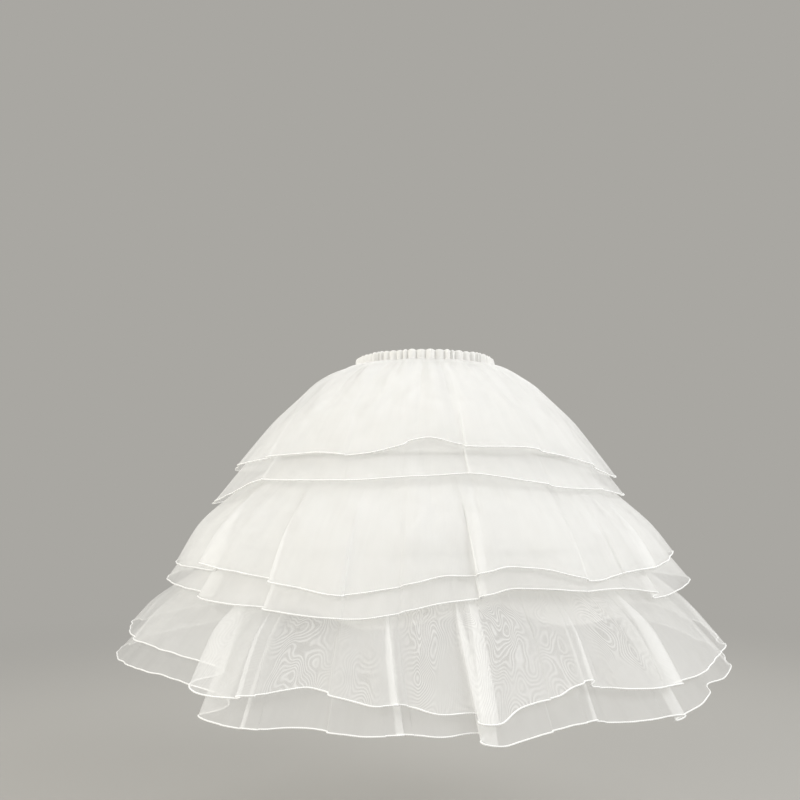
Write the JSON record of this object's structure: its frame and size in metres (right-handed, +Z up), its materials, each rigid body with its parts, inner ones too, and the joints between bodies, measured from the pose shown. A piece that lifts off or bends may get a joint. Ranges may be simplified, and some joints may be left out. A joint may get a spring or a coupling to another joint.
{
  "type": "tiered petticoat",
  "caption": "Full tiered petticoat of sheer organza, gathered on an elastic waist, with corded wavy hems that hold a skirt out.",
  "frame": {"origin": "centre of the waist opening, halfway up the waistband", "axes": "+Z up along the waist axis, -Y is the front of the wearer, +X to the right as seen from the front"},
  "size_m": [0.9705, 1.0169, 0.4971],
  "materials": {
    "organza": "sheer and crisp, with a soft sheen",
    "hem_cord": "dense rolled edge over nylon line",
    "lining": "matte plain weave",
    "tape": "matte plain weave",
    "casing": "gathered plain weave",
    "elastic": "ribbed woven elastic"
  },
  "bodies": {
    "root": {"waistband_casing": "casing", "waist_elastic": "elastic", "lining": "lining", "tier_2_gathering_tape": "tape", "tier_3_gathering_tape": "tape", "tier_1_upper_layer": "organza", "tier_1_upper_hem_cord": "hem_cord", "tier_1_lower_layer": "organza", "tier_1_lower_hem_cord": "hem_cord", "tier_2_upper_layer": "organza", "tier_2_upper_hem_cord": "hem_cord", "tier_2_lower_layer": "organza", "tier_2_lower_hem_cord": "hem_cord", "tier_3_upper_layer": "organza", "tier_3_upper_hem_cord": "hem_cord", "tier_3_lower_layer": "organza", "tier_3_lower_hem_cord": "hem_cord"}
  },
  "joints": []
}
